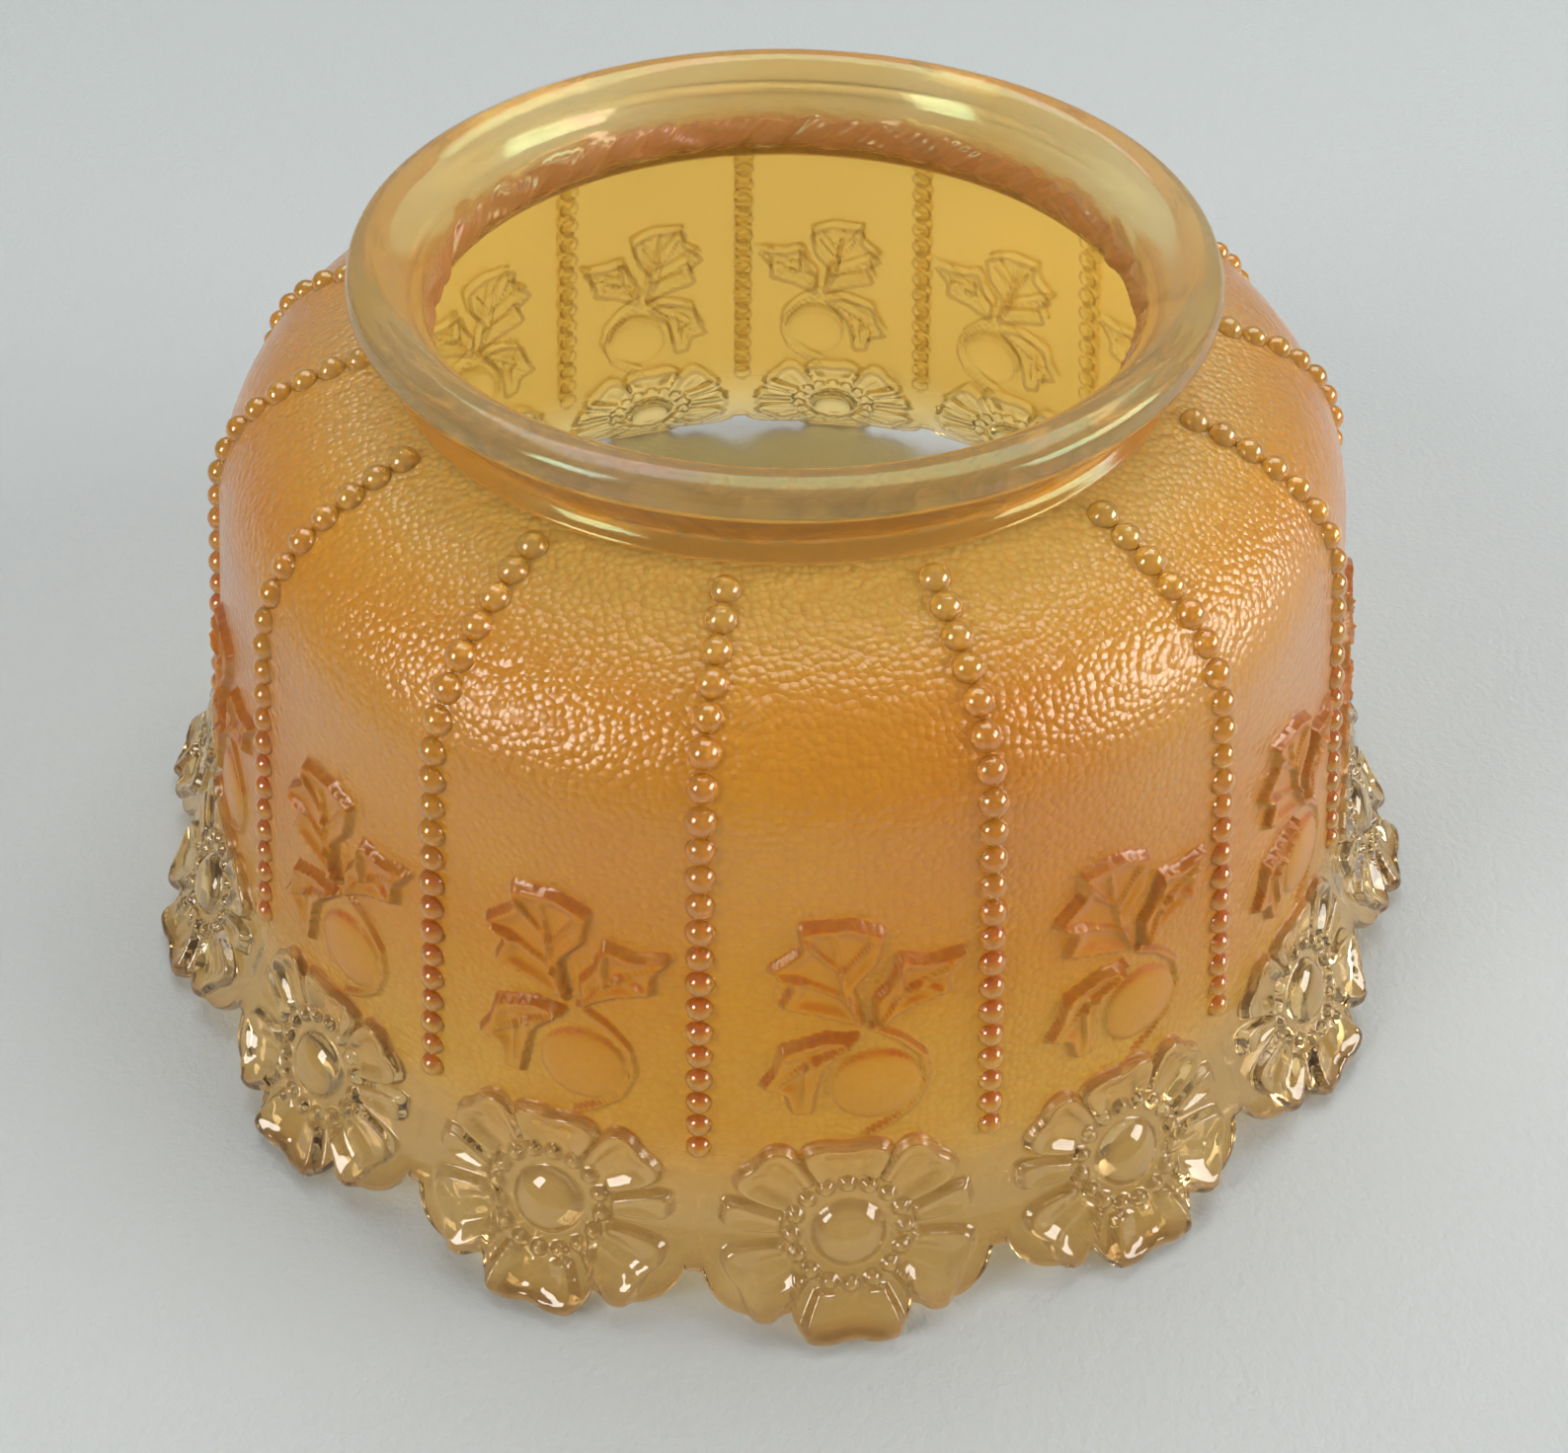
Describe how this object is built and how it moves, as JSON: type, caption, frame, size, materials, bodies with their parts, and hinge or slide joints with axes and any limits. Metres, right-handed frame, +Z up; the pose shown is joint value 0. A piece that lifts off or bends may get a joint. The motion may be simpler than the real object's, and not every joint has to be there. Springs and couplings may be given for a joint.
{
  "type": "pressed glass lamp shade",
  "caption": "Pressed iridescent glass lamp shade with a flared fitter lip, beaded panels with leaf sprays, and a flared rim of open flowers.",
  "frame": {"origin": "on the axis of the shade, in the plane that its rim rests on", "axes": "+Z up along the shade's axis towards the fitter lip; +X through the middle of one panel and its flower"},
  "size_m": [0.1838, 0.1848, 0.091],
  "materials": {
    "marigold_glass": "iridescent",
    "clear_rim_glass": "gloss",
    "lip_glass": "gloss"
  },
  "bodies": {
    "root": {"fitter_lip": "lip_glass", "fitter_neck": "marigold_glass", "body_wall": "marigold_glass", "flared_rim": "clear_rim_glass", "bead_columns": "marigold_glass", "upper_left_leaves": "marigold_glass", "upper_right_leaves": "marigold_glass", "lower_left_leaves": "marigold_glass", "fruits": "marigold_glass", "stems": "marigold_glass", "top_petals": "clear_rim_glass", "upper_petals": "clear_rim_glass", "side_petals": "clear_rim_glass", "lower_petals": "clear_rim_glass", "bottom_petals": "clear_rim_glass", "flower_bosses": "clear_rim_glass", "pearl_rings": "clear_rim_glass"}
  },
  "joints": []
}
